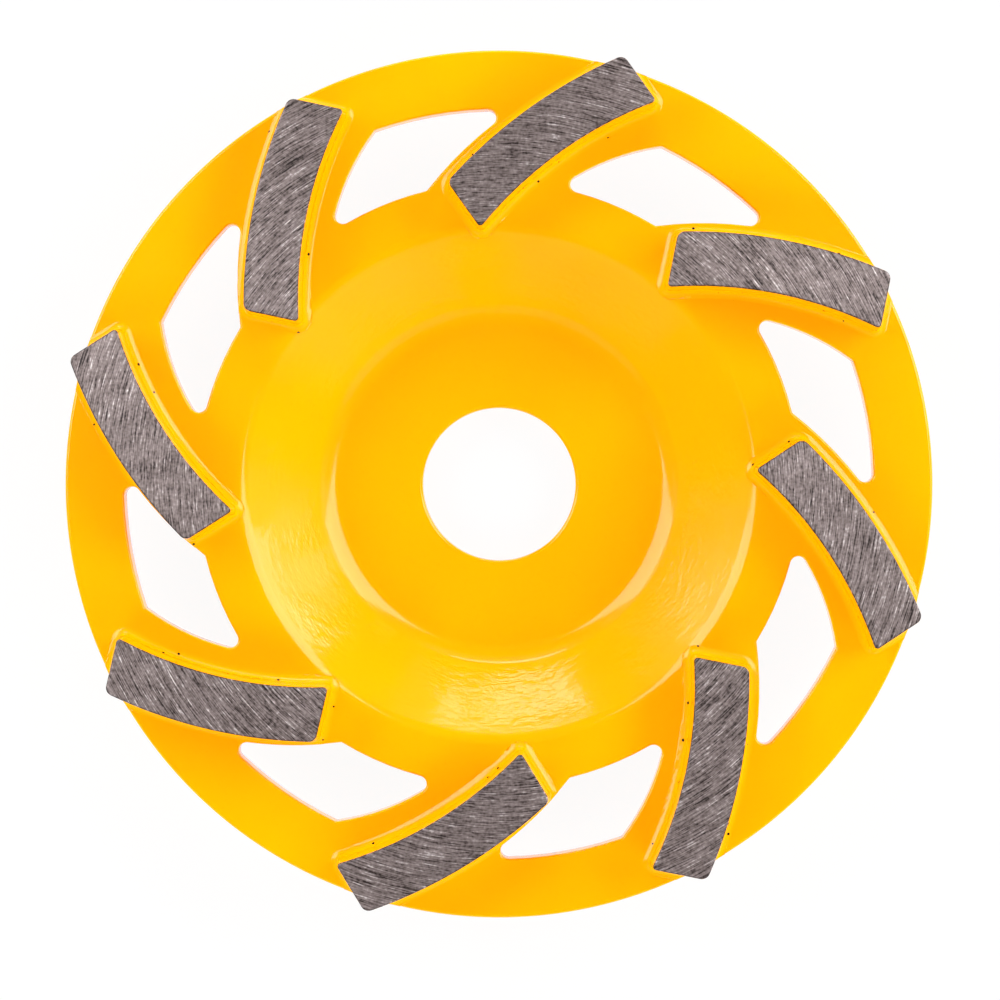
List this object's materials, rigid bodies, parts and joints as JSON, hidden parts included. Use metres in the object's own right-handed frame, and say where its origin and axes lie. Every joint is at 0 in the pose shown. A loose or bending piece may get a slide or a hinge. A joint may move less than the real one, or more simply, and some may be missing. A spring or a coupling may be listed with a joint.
{
  "type": "diamond cup wheel",
  "caption": "Round pressed steel cup wheel with a central bore, slanted windows in its ring and curved diamond segments brazed on its face.",
  "frame": {"origin": "centre of the bore at the hub's back face, on which the wheel lies", "axes": "+Z along the bore, from the hub's back towards the grinding face"},
  "size_m": [0.124, 0.124, 0.0199],
  "materials": {
    "painted_steel": "yellow satin-gloss powder coat on pressed steel",
    "diamond_segment": "sintered metal, ground on its face and painted on its sides",
    "painted_braze": "yellow satin-gloss powder coat over braze metal"
  },
  "bodies": {
    "root": {"cup_body": "painted_steel", "segment_1": "diamond_segment", "segment_2": "diamond_segment", "segment_3": "diamond_segment", "segment_4": "diamond_segment", "segment_5": "diamond_segment", "segment_6": "diamond_segment", "segment_7": "diamond_segment", "segment_8": "diamond_segment", "braze_seam_1": "painted_braze", "braze_seam_2": "painted_braze", "braze_seam_3": "painted_braze", "braze_seam_4": "painted_braze", "braze_seam_5": "painted_braze", "braze_seam_6": "painted_braze", "braze_seam_7": "painted_braze", "braze_seam_8": "painted_braze"}
  },
  "joints": []
}
